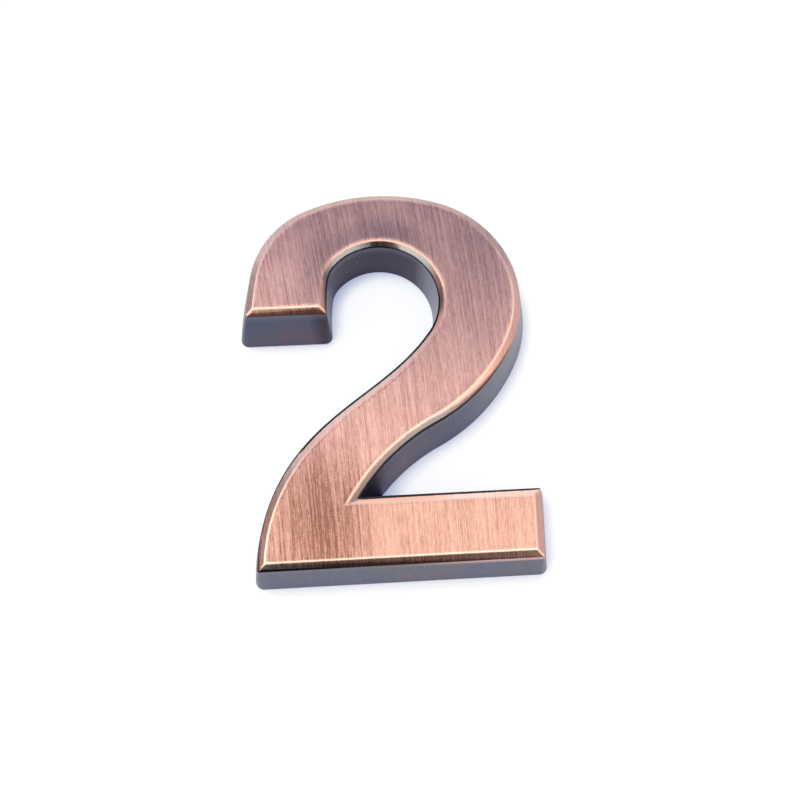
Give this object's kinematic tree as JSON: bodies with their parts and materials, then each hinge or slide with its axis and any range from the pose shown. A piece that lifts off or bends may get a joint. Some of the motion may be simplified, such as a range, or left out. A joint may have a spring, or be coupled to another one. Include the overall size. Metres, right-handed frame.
{
  "type": "self-adhesive house number",
  "caption": "House number in the form of the digit 2, with a flat brushed face, a bevelled edge, flared walls and a foam pad in its back that sticks it to a door or wall.",
  "frame": {"origin": "under the middle of the digit's outline, on the adhesive face that goes against the wall", "axes": "+Y up the digit, +X along its bar towards the right, +Z out of its face"},
  "size_m": [0.0372, 0.05, 0.0072],
  "materials": {
    "antiqued_copper_plate": "plated, face brushed to warm copper, walls left in satin dark grey patina",
    "adhesive_foam": "closed-cell foam with a smooth film over the adhesive"
  },
  "bodies": {
    "root": {"digit": "antiqued_copper_plate", "adhesive_pad": "adhesive_foam"}
  },
  "joints": []
}
